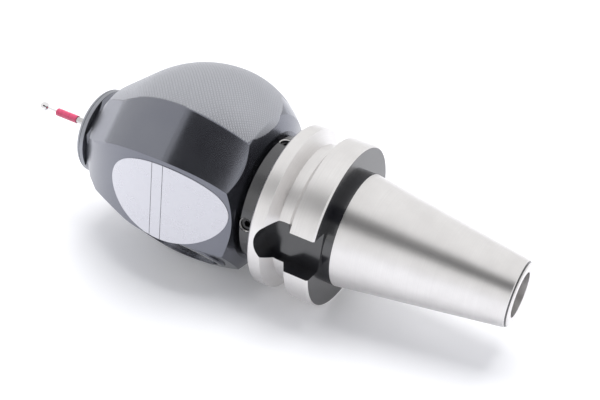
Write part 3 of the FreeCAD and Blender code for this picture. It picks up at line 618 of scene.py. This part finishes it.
@dataclass(frozen=True)
class LabelFoil:
    """Satin foil label, bare but for two thin lines across it."""

    name: str = "label_foil"
    foil: Colour = (0.63, 0.63, 0.67)
    shade: Colour = (0.59, 0.59, 0.63)
    ink: Colour = (0.05, 0.05, 0.06)
    lines: tuple[float, float] = (61.7, 66.35)
    line_width: float = 0.22
    roughness: float = 0.28
    spread: float = 0.04
    patch_scale: float = 0.2
    patch_contrast: float = 1.2
    pit_scale: float = 5.0
    depth: float = 0.0006

    def build(self, tool: ToolFrame, effects: Effects) -> bpy.types.Material:
        """Makes the material."""
        s = Surface(self.name, tool, effects)
        n = s.nodes
        patches = s.effect(Effect.CLOUD, "Patches", Scale=self.patch_scale, Contrast=self.patch_contrast)
        pits = s.effect(Effect.PITS, "Pits", Scale=self.pit_scale)
        half = self.line_width / 2.0
        first, second = (n.inside(s.z, line - half, line + half) for line in self.lines)
        plain = n.mix(patches, self.shade, self.foil)
        s.set(Base_Color=n.mix(n.math("MAXIMUM", first, second), plain, self.ink), Metallic=0.95,
              Roughness=s.shift(patches, self.roughness, self.spread))
        s.bump(pits, self.depth)
        return s.material


@dataclass(frozen=True)
class Moulded:
    """Rubber, lacquer or plastic: one colour with soft patches and fine pits."""

    name: str
    light: Colour
    dark: Colour
    roughness: float
    pit_scale: float = 5.0
    depth: float = 0.008
    coat: float = 0.0
    coat_roughness: float = 0.12
    spread: float = 0.05
    patch_scale: float = 0.35
    patch_contrast: float = 1.4

    def build(self, tool: ToolFrame, effects: Effects) -> bpy.types.Material:
        """Makes the material."""
        s = Surface(self.name, tool, effects)
        patches = s.effect(Effect.CLOUD, "Patches", Scale=self.patch_scale, Contrast=self.patch_contrast)
        pits = s.effect(Effect.PITS, "Pits", Scale=self.pit_scale)
        s.set(Base_Color=s.nodes.mix(patches, self.dark, self.light), Metallic=0.0,
              Roughness=s.shift(patches, self.roughness, self.spread),
              Coat_Weight=self.coat, Coat_Roughness=self.coat_roughness)
        s.bump(pits, self.depth)
        return s.material


@dataclass(frozen=True)
class ClearGlass:
    """Flat mineral glass with a trace of dust in its roughness."""

    name: str = "clear_glass"
    tint: Colour = (0.97, 0.985, 0.99)
    ior: float = 1.5
    roughness: float = 0.02
    spread: float = 0.015
    patch_scale: float = 0.3
    patch_contrast: float = 1.5

    def build(self, tool: ToolFrame, effects: Effects) -> bpy.types.Material:
        """Makes the material."""
        s = Surface(self.name, tool, effects)
        patches = s.effect(Effect.CLOUD, "Patches", Scale=self.patch_scale, Contrast=self.patch_contrast)
        s.set(Base_Color=self.tint, Metallic=0.0, Transmission_Weight=1.0, IOR=self.ior,
              Roughness=s.shift(patches, self.roughness, self.spread))
        return s.material


class Finishes:
    """Every finish of the tool, each made once."""

    def __init__(self, tool: ToolFrame) -> None:
        """Makes all materials in the spindle's frame."""
        kinds = {
            "holder": HolderFinish(),
            "body": Anodised(),
            # The knurl is the body's black anodising painted lighter, as if lit from above, with a painted
            # highlight on its crests.
            "knurl": Anodised("anodised_knurl_painted_light", (0.34, 0.346, 0.376), (0.58, 0.59, 0.63),
                              roughness=0.42, crest="crest"),
            "ring": RingBlack(),
            "label": LabelFoil(),
            "glass": ClearGlass(),
            "oxide": Moulded("black_oxide_screws", (0.022, 0.021, 0.023), (0.010, 0.010, 0.011), 0.24,
                             pit_scale=3.0, depth=0.004),
            "steel": TurnedMetal("drawn_steel", (0.74, 0.73, 0.73), (0.52, 0.51, 0.51), 0.20,
                                 fineness=12.0),
            "ball": TurnedMetal("lapped_ball", (0.86, 0.85, 0.85), (0.80, 0.79, 0.80), 0.06,
                                fineness=4.0, wander=0.4, depth=0.0002),
            "brass": TurnedMetal("movement_brass", (0.80, 0.60, 0.30), (0.62, 0.45, 0.20), 0.28,
                                 fineness=6.0, wander=0.2),
            "thread": TurnedMetal("thread_steel", (0.48, 0.47, 0.47), (0.22, 0.215, 0.21), 0.33,
                                  fineness=5.0, wander=0.1),
            "pink": Moulded("break_sleeve_pink", (0.80, 0.085, 0.20), (0.62, 0.045, 0.13), 0.28,
                            pit_scale=3.0, depth=0.006, coat=0.4),
            "rubber": Moulded("boot_rubber", (0.035, 0.034, 0.035), (0.018, 0.018, 0.018), 0.62,
                              depth=0.02),
            "dial": Moulded("dial_lacquer", (0.86, 0.86, 0.83), (0.80, 0.80, 0.77), 0.45,
                            pit_scale=8.0, depth=0.003),
            "ink": Moulded("dial_ink", (0.020, 0.020, 0.022), (0.010, 0.010, 0.011), 0.5,
                           pit_scale=8.0, depth=0.003),
            "red": Moulded("hand_lacquer", (0.66, 0.035, 0.025), (0.50, 0.020, 0.018), 0.32,
                           pit_scale=6.0, depth=0.004, coat=0.3),
        }
        effects = Effects()
        self.made = {key: kind.build(tool, effects) for key, kind in kinds.items()}

    def dress(self, piece: bpy.types.Object, finish: str) -> None:
        """Gives every material slot of a piece one finish."""
        if not piece.material_slots:
            piece.data.materials.append(self.made[finish])
        for place in piece.material_slots:
            place.material = self.made[finish]


# --- sub-assemblies ------------------------------------------------------------------------------
@dataclass
class SubAssembly:
    """A group of pieces that are built and dressed together."""

    tool: ToolFrame
    finishes: Finishes

    def dress_nodes(self, finishes: dict[str, str]) -> None:
        """Dresses CAD nodes, each with a finish.

        Args:
            finishes: The finish of each node, by the node's name.
        """
        for node, finish in finishes.items():
            self.finishes.dress(frame["nodes"][node], finish)
            log.info("dressed %s in %s", node, finish)

    def add(self, piece: bpy.types.Object, body: str, finish: str, slot: str) -> bpy.types.Object:
        """Dresses a new piece and makes it ride on a body."""
        piece.data.materials.clear()
        self.finishes.dress(piece, finish)
        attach(piece, body)
        log.info("made %s with %d faces", piece.name, len(piece.data.polygons))
        return piece

    def on_axis(self, height: float) -> Vector:
        """A point of the spindle axis, from its height in millimetres."""
        return self.tool.origin + self.tool.forward * height * MM


@dataclass
class Holder(SubAssembly):
    """Taper shank with its screws and the pull stud's thread."""

    thread_radius: float = 6.90
    thread_height: float = 0.42
    thread_pitch: float = 2.0
    flank_share: float = 0.42
    thread_start: float = -56.2
    thread_turns: int = 11
    thread_steps: int = 48

    def build(self) -> None:
        """Dresses the holder and makes the thread's ridge."""
        self.dress_nodes({"taper_shank": "holder", "centring_screws": "oxide", "clamp_screw": "oxide",
                          "clamp_washer": "steel"})
        self.add(self.thread(), "holder", "thread", "ground_steel")

    def thread(self) -> bpy.types.Object:
        """The ridge of the internal thread, a wedge section carried round a helix."""
        bpy.ops.mesh.primitive_circle_add(vertices=3, radius=1.0, fill_type="NOTHING")
        ridge = bpy.context.object
        half = self.thread_pitch * self.flank_share
        crest = self.thread_radius - self.thread_height
        corners = ((self.thread_radius, -half), (self.thread_radius, half), (crest, 0.0))
        for vertex, (radius, height) in zip(ridge.data.vertices, corners):
            vertex.co = Vector((radius, 0.0, self.thread_start + height)) * MM
        screw = ridge.modifiers.new("helix", "SCREW")
        screw.steps = screw.render_steps = self.thread_steps
        screw.iterations = self.thread_turns
        screw.screw_offset = self.thread_pitch * MM
        screw.use_smooth_shade = False
        apply_modifiers(ridge)
        make_active(ridge)
        bpy.ops.object.mode_set(mode="EDIT")
        bpy.ops.mesh.select_all(action="DESELECT")
        bpy.ops.mesh.select_mode(type="EDGE")
        bpy.ops.mesh.select_non_manifold()
        bpy.ops.mesh.edge_face_add()
        bpy.ops.object.mode_set(mode="OBJECT")
        face_outwards(ridge)
        smooth(ridge)
        return settle(ridge, "stud_thread", self.tool.matrix())


@dataclass
class Barrel(SubAssembly):
    """Faceted housing with its knurled back and its label."""

    turned: Profile = Profile(41.8, 63.4, 34.6, 44.9, 0.774)
    facet: Profile = Profile(39.97, 62.8, 33.9, 49.2, 0.832)
    neck: float = 36.0
    neck_radius: float = 25.7
    cone_slope: float = 2.115
    start_angle: float = 107.0
    low: float = 37.4
    high: float = 104.7
    around: float = 1.6
    along: float = 1.4
    depth: float = 0.20
    root: float = 0.02
    sunk: float = 0.25
    # Share of the painted crest highlight on the plain, unknurled parts.
    plain_crest: float = 0.3
    samples: int = 600
    boundary: tuple[float, float, float] = (19.5, 57.9, 20.6)
    crest_end: float = 45.0

    def build(self) -> None:
        """Dresses the housing and its label and lays the knurling over the round back."""
        self.dress_nodes({"housing": "body", "label_plate": "label"})
        self.add(self.knurling(), "holder", "knurl", "anodised_body")

    def radius_at(self, z: np.ndarray) -> np.ndarray:
        """Radius of the turned back at each place along the axis."""
        return np.minimum(self.turned.height(z), self.neck_radius + self.cone_slope * (z - self.neck))

    def knurling(self) -> bpy.types.Object:
        """A fine diamond relief, wrapped on the round back and sunk where a facet cuts it off, with a crest
        attribute that carries a painted highlight.
        """
        span = math.radians(2.0 * (180.0 - self.start_angle))
        fine = np.linspace(self.low, self.high, self.samples)
        steps = np.hypot(np.diff(fine), np.diff(self.radius_at(fine)))
        length = np.concatenate(([0.0], np.cumsum(steps)))
        rows = int(round(length[-1] / self.along)) * 4
        columns = int(round(span * self.turned.reach / self.around)) * 4
        bpy.ops.mesh.primitive_grid_add(x_subdivisions=columns, y_subdivisions=rows, size=2.0)
        skin = bpy.context.object
        flat = np.zeros(len(skin.data.vertices) * 3)
        skin.data.vertices.foreach_get("co", flat)
        grid = flat.reshape(-1, 3)
        share_around, share_along = (grid[:, 0] + 1.0) / 2.0, (grid[:, 1] + 1.0) / 2.0
        z = np.interp(share_along * length[-1], length, fine)
        angle = math.pi + (share_around - 0.5) * span
        u, v = share_around * columns / 4.0, share_along * rows / 4.0
        crest = np.minimum(self.wave(u + v), self.wave(u - v))
        radius = self.radius_at(z)
        knurled = self.inside_boundary(-radius * np.cos(angle), z)
        lift = np.where(knurled, self.root + self.depth * crest, -self.sunk)
        x, y = (radius + lift) * np.cos(angle), (radius + lift) * np.sin(angle)
        limit = self.facet.height(z)
        beyond = np.abs(y) > limit
        y = np.where(beyond, np.sign(y) * (limit - self.sunk), y)
        skin.data.vertices.foreach_set("co", (np.stack((x, y, z), 1) * MM).ravel())
        # The crest attribute is a painted highlight: the knurl's high points, and a share of the plain
        # parts, get the lighter colour.
        worn = skin.data.attributes.new("crest", "FLOAT", "POINT")
        shown = np.where(knurled & ~beyond, crest, self.plain_crest)
        worn.data.foreach_set("value", shown.astype(np.float32))
        skin.data.update()
        if skin.data.polygons[0].normal.dot(Vector((-1, 0, 0))) < 0:
            skin.data.flip_normals()
        return settle(skin, "knurled_back", self.tool.matrix())

    @staticmethod
    def wave(value: np.ndarray) -> np.ndarray:
        """A triangle wave from 0 to 1, one period in each unit."""
        return np.abs(2.0 * (value - np.floor(value + 0.5)))

    def inside_boundary(self, height: np.ndarray, z: np.ndarray) -> np.ndarray:
        """Where the knurling lies: all over in front of the widest section, inside a round cut behind it.

        Args:
            height: Heights over the axis, towards the middle of the round back.
            z: Places along the axis.

        Returns:
            True where the surface is knurled.
        """
        middle, place, radius = self.boundary
        round_cut = (height - middle) ** 2 + (z - place) ** 2 < radius**2
        return (z > place) | round_cut | ((height > middle) & (z > self.crest_end))


@dataclass
class Indicator(SubAssembly):
    """Dial, its print, both hands and the glass."""

    level: float = 26.6
    print_height: float = 0.03
    outer: float = 14.1
    small_place: tuple[float, float] = (-3.2, -6.783)
    small_outer: float = 3.6
    division: float = 3.6
    mark_lengths: tuple[float, float, float] = (1.9, 1.4, 0.9)
    mark_widths: tuple[float, float] = (0.22, 0.13)
    taper: float = 0.8
    small_division: float = 30.0
    small_length: float = 0.8
    small_width: float = 0.16
    circle_gap: float = 0.12
    circle_line: float = 0.07
    number_radius: float = 10.4
    number_size: float = 1.9

    def build(self) -> None:
        """Dresses the dial's pieces and makes its print."""
        self.dress_nodes({"bezel": "body", "dial_glass": "glass", "glass_gasket": "rubber",
                          "dial_plate": "dial",
                          "dial_spacer": "oxide", "main_hand": "red", "small_hand": "red"})
        self.add(self.scale("dial_scale"), "holder", "ink", "ring_black")
        self.add(self.numbers("dial_numbers"), "holder", "ink", "ring_black")

    def mark(self, inner: float, outer: float, width: float, turn: float,
             place: Vector) -> bpy.types.Object:
        """One tapered mark of the scale, from an inner to an outer radius.

        Args:
            inner: Inner radius in millimetres.
            outer: Outer radius in millimetres.
            width: Width at its outer end in millimetres.
            turn: Its direction in radians.
            place: Centre of the scale, in millimetres.

        Returns:
            The mark.
        """
        bpy.ops.mesh.primitive_cube_add(size=1.0)
        bar = bpy.context.object
        length = outer - inner
        for vertex in bar.data.vertices:
            end = vertex.co.y > 0
            vertex.co.x *= width if end else width * self.taper
            vertex.co.y = inner + length * (1.0 if end else 0.0)
            vertex.co.z = self.level + self.print_height * (vertex.co.z + 0.5)
        spot = Matrix.Translation(place) @ Matrix.Rotation(turn, 4, "Z")
        bar.data.transform(Matrix.Scale(MM, 4) @ spot)
        return bar

    def scale(self, name: str) -> bpy.types.Object:
        """Marks of the main scale and of the small counter scale."""
        made = []
        for number in range(100):
            long, middle, short = self.mark_lengths
            reach = long if number % 10 == 0 else middle if number % 5 == 0 else short
            width = self.mark_widths[0] if number % 10 == 0 else self.mark_widths[1]
            turn = math.radians(self.division * number)
            made.append(self.mark(self.outer - reach, self.outer, width, turn, Vector()))
        counter = Vector((*self.small_place, 0.0))
        for number in range(9):
            made.append(self.mark(self.small_outer - self.small_length, self.small_outer, self.small_width,
                                  math.radians(self.small_division * number), counter))
        bpy.ops.mesh.primitive_torus_add(
            major_radius=(self.outer + self.circle_gap) * MM, minor_radius=self.circle_line * MM,
            major_segments=96, minor_segments=6, location=(0, 0, self.level * MM))
        made.append(bpy.context.object)
        return settle(join(made), name, self.tool.dial_matrix())

    def numbers(self, name: str) -> bpy.types.Object:
        """Plain numbers round the main scale."""
        made = []
        for number in range(0, 100, 10):
            turn = -math.radians(self.division * number)
            place = Vector((-math.sin(turn), math.cos(turn), 0.0)) * self.number_radius * MM
            bpy.ops.object.text_add(location=(place.x, place.y, self.level * MM))
            figure = bpy.context.object
            figure.data.body = str(number)
            figure.data.size = self.number_size * MM
            figure.data.extrude = self.print_height * MM
            figure.data.align_x = "CENTER"
            figure.data.align_y = "CENTER"
            make_active(figure)
            bpy.ops.object.convert(target="MESH")
            made.append(bpy.context.object)
        whole = join(made)
        face_outwards(whole)
        return settle(whole, name, self.tool.dial_matrix())


@dataclass
class Movement(SubAssembly):
    """Plates, arbors, wheels and spring behind the dial."""

    def build(self) -> None:
        """Dresses the movement."""
        self.dress_nodes({
            "front_plate": "brass", "rear_plate": "brass", "plate_pillars": "steel",
            "centre_arbor": "steel", "rack_arbor": "steel", "rack_wheel": "brass",
            "take_up_arbor": "steel", "take_up_wheel": "brass", "hairspring": "steel",
            "plunger": "steel", "rack_arm": "steel", "arm_nut": "steel",
            "guide_bush": "brass", "return_spring": "steel"})


@dataclass(frozen=True)
class BootRing:
    """One ring of the boot, with the two bodies of the joint it crosses."""

    name: str
    bodies: tuple[str, str]
    span: tuple[float, float]
    corners: list[tuple[float, float]]


@dataclass
class Probe(SubAssembly):
    """Guide sleeve with its spring, gimbal, nose ring with its boot, and the stylus.

    The boot crosses all three joints of the stylus, so it is made as three rings that meet in flat
    planes.
    """

    spring_ends: tuple[float, float] = (77.5, 90.0)
    travel: float = 4.0
    seat: float = 110.6
    bead_top: float = 112.4
    bead_in: float = 10.2
    bead_out: float = 12.2
    collar: float = 11.2
    first_seam: float = 114.64
    first_ring: tuple[float, float] = (8.9, 9.3)
    second_seam: float = 116.04
    second_ring: tuple[float, float] = (5.6, 6.1)
    roll: float = 1.34
    lip: float = 118.0
    lip_length: float = 1.0
    lip_radius: float = 3.05

    def build(self) -> None:
        """Dresses the probe and makes the spring and the boot's rings."""
        self.dress_nodes({
            "guide_sleeve": "steel", "gimbal_ring": "steel", "gimbal_pins": "steel",
            "stylus_holder": "steel", "nose_ring": "ring", "boot_clip": "steel",
            "stylus_stud": "steel", "break_sleeve": "pink", "ball_tip": "ball"})
        self.spring()
        for ring in self.boot_rings():
            self.boot(ring)

    def spring(self) -> None:
        """The return spring, a dressed copy of the CAD coil riding on the holder."""
        rear, front = self.spring_ends
        coil = bpy.data.objects.new("spring_coil", frame["nodes"]["return_spring"].data.copy())
        bpy.context.scene.collection.objects.link(coil)
        face_outwards(coil)
        smooth(coil)
        self.add(coil, "holder", "steel", "bright_steel")
        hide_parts("return_spring")
        tuple(self.on_axis(rear))
        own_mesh(coil)

    def boot_rings(self) -> list[BootRing]:
        """The boot's rings, from its bead in the nose ring to its lip round the stylus holder."""
        low, high, lip, gap = self.first_seam, self.second_seam, self.lip, self.lip_radius
        step = self.bead_top
        (low_in, low_out), (high_in, high_out) = self.first_ring, self.second_ring
        return [
            BootRing("boot_bead", ("holder", "push_sleeve"), (low - self.roll, low), [
                (self.bead_in, self.seat), (self.bead_out, self.seat), (self.bead_out, step),
                (self.collar, step), (self.collar - 0.1, step + 0.7), (self.collar - 0.4, step + 0.9),
                (low_out, low), (low_in, low), (low_in + 1.0, step + 0.9), (self.bead_in, step + 0.2)]),
            BootRing("boot_fold", ("push_sleeve", "gimbal"), (low, high), [
                (low_in, low), (low_out, low), (low_out - 0.3, low + 0.56), (high_out, high),
                (high_in, high), (high_in + 0.3, low + 0.86)]),
            BootRing("boot_lip", ("gimbal", "stylus"), (high, lip - self.lip_length), [
                (high_in, high), (high_out, high), (high_out - 0.1, high + 0.56), (4.6, lip - 0.8),
                (gap + 0.75, lip), (gap, lip), (gap, lip - 1.4), (high_in - 0.5, high + 0.26)])]

    def boot(self, ring: BootRing) -> None:
        """Makes one ring of the boot and dresses it in rubber."""
        piece = settle(revolve(ring.corners), ring.name, self.tool.matrix())
        piece.data.materials.clear()
        self.finishes.dress(piece, "rubber")
        start, end = (tuple(self.on_axis(height)) for height in ring.span)
        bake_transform(piece)
        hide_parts("nose_boot")
        log.info("made %s with %d faces", piece.name, len(piece.data.polygons))


# --- studio --------------------------------------------------------------------------------------
@dataclass(frozen=True)
class Lamp:
    """A soft rectangular lamp aimed at the object."""

    name: str
    place: Colour
    size: tuple[float, float]
    radiance: float
    aim: Colour = (0.0, 0.0, 0.03)

    def build(self) -> None:
        """Makes the lamp."""
        data = bpy.data.lights.new(self.name, "AREA")
        data.shape = "RECTANGLE"
        data.size, data.size_y = self.size
        data.energy = self.radiance * math.pi * self.size[0] * self.size[1]
        lamp = bpy.data.objects.new(self.name, data)
        lamp.location = self.place
        lamp.rotation_euler = (Vector(self.aim) - Vector(self.place)).to_track_quat("-Z", "Y").to_euler()
        lamp.visible_glossy = False
        bpy.context.scene.collection.objects.link(lamp)


@dataclass
class Studio:
    """Pale floor, soft lamps, a grey panel for the metal to reflect, and the camera."""

    lamps: tuple[Lamp, ...] = (
        Lamp("back_lamp", (-0.15, 1.05, 0.62), (2.2, 0.9), 1.2),
        Lamp("left_lamp", (-1.15, 0.05, 0.40), (0.8, 0.6), 3.2),
        Lamp("top_lamp", (0.0, 0.25, 1.40), (1.1, 0.9), 5.0),
    )
    world: Colour = (0.42, 0.43, 0.47)
    floor_colour: Colour = (0.86, 0.86, 0.87)
    floor_lift: float = 0.16
    floor_radius: float = 4.0
    floor_roughness: float = 0.9
    floor_sheen: float = 0.1
    panel_place: Colour = (0.92, -0.71, 0.84)
    panel_length: float = 2.56
    panel_width: float = 0.62
    panel_lean: float = 40.0
    panel_colour: Colour = (0.006, 0.006, 0.006)
    lens: float = 67.95
    camera_place: Colour = (0.17536, -0.32441, 0.26127)
    camera_right: Colour = (0.876668, 0.477047, 0.062251)
    camera_up: Colour = (-0.301473, 0.443921, 0.843828)

    def build(self) -> None:
        """Makes the whole studio."""
        self.make_world()
        self.make_floor()
        self.make_panel()
        for lamp in self.lamps:
            lamp.build()
        self.make_camera()
        bpy.context.scene.view_settings.view_transform = "Standard"

    @staticmethod
    def seen(nodes: Tree) -> bpy.types.NodeSocket:
        """One for camera, glossy and transmission rays."""
        path = nodes.node("ShaderNodeLightPath")
        direct = nodes.math("MAXIMUM", path.outputs["Is Camera Ray"], path.outputs["Is Glossy Ray"])
        return nodes.math("MAXIMUM", direct, path.outputs["Is Transmission Ray"])

    def make_world(self) -> None:
        """A grey sky for the light and a white one for what is seen."""
        world = bpy.data.worlds.new("studio")
        world.use_nodes = True
        bpy.context.scene.world = world
        nodes = Tree(world.node_tree)
        leave = next(n for n in world.node_tree.nodes if n.type == "OUTPUT_WORLD")
        light = nodes.node("ShaderNodeBackground", {"Color": (*self.world, 1.0)})
        white = nodes.node("ShaderNodeBackground", {"Color": (1.0, 1.0, 1.0, 1.0)})
        both = nodes.node("ShaderNodeMixShader", {
            0: self.seen(nodes), 1: light.outputs[0], 2: white.outputs[0]})
        nodes.feed(leave.inputs["Surface"], both.outputs[0])

    def make_floor(self) -> None:
        """A pale floor that keeps the object's shadow."""
        bpy.ops.mesh.primitive_circle_add(vertices=96, radius=self.floor_radius, fill_type="NGON")
        floor = bpy.context.object
        floor.name = "floor"
        material = bpy.data.materials.new("floor_paper")
        material.use_nodes = True
        nodes = Tree(material.node_tree)
        shader = next(n for n in material.node_tree.nodes if n.type == "BSDF_PRINCIPLED")
        shader.inputs["Base Color"].default_value = (*self.floor_colour, 1.0)
        shader.inputs["Roughness"].default_value = self.floor_roughness
        shader.inputs["Specular IOR Level"].default_value = self.floor_sheen
        shader.inputs["Emission Color"].default_value = (1.0, 1.0, 1.0, 1.0)
        lift = nodes.math("MULTIPLY", self.seen(nodes), self.floor_lift)
        nodes.feed(shader.inputs["Emission Strength"], lift)
        floor.data.materials.append(material)

    def make_panel(self) -> None:
        """A dark panel over the camera that only polished surfaces see."""
        bpy.ops.mesh.primitive_plane_add(size=1.0)
        panel = bpy.context.object
        panel.name = "dark_panel"
        panel.location = self.panel_place
        panel.scale = (self.panel_length, self.panel_width, 1.0)
        panel.rotation_euler = (math.radians(self.panel_lean), 0.0, 0.0)
        panel.visible_camera = panel.visible_diffuse = panel.visible_shadow = False
        panel.visible_transmission = False
        material = bpy.data.materials.new("panel_cloth")
        material.use_nodes = True
        shader = next(n for n in material.node_tree.nodes if n.type == "BSDF_PRINCIPLED")
        shader.inputs["Base Color"].default_value = (*self.panel_colour, 1.0)
        shader.inputs["Roughness"].default_value = 1.0
        panel.data.materials.append(material)

    def make_camera(self) -> None:
        """The camera, above and in front of the dial edge finder."""
        data = bpy.data.cameras.new("camera")
        data.lens = self.lens
        data.sensor_width = 36.0
        data.clip_start, data.clip_end = 0.01, 20.0
        camera = bpy.data.objects.new("camera", data)
        right, up = Vector(self.camera_right), Vector(self.camera_up)
        turn = Matrix((right, up, right.cross(up))).transposed().to_4x4()
        camera.matrix_world = Matrix.Translation(self.camera_place) @ turn
        bpy.context.scene.collection.objects.link(camera)
        bpy.context.scene.camera = camera


def main() -> None:
    """Builds and dresses every sub-assembly, then the studio."""
    logging.basicConfig(level=logging.INFO, format="%(name)s: %(message)s")
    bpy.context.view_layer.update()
    tool = ToolFrame.from_record(frame["record"])
    finishes = Finishes(tool)
    for part in (Holder, Barrel, Indicator, Movement, Probe):
        part(tool, finishes).build()
    Studio().build()
    log.info("all pieces made")


if __name__ == "__main__":
    main()
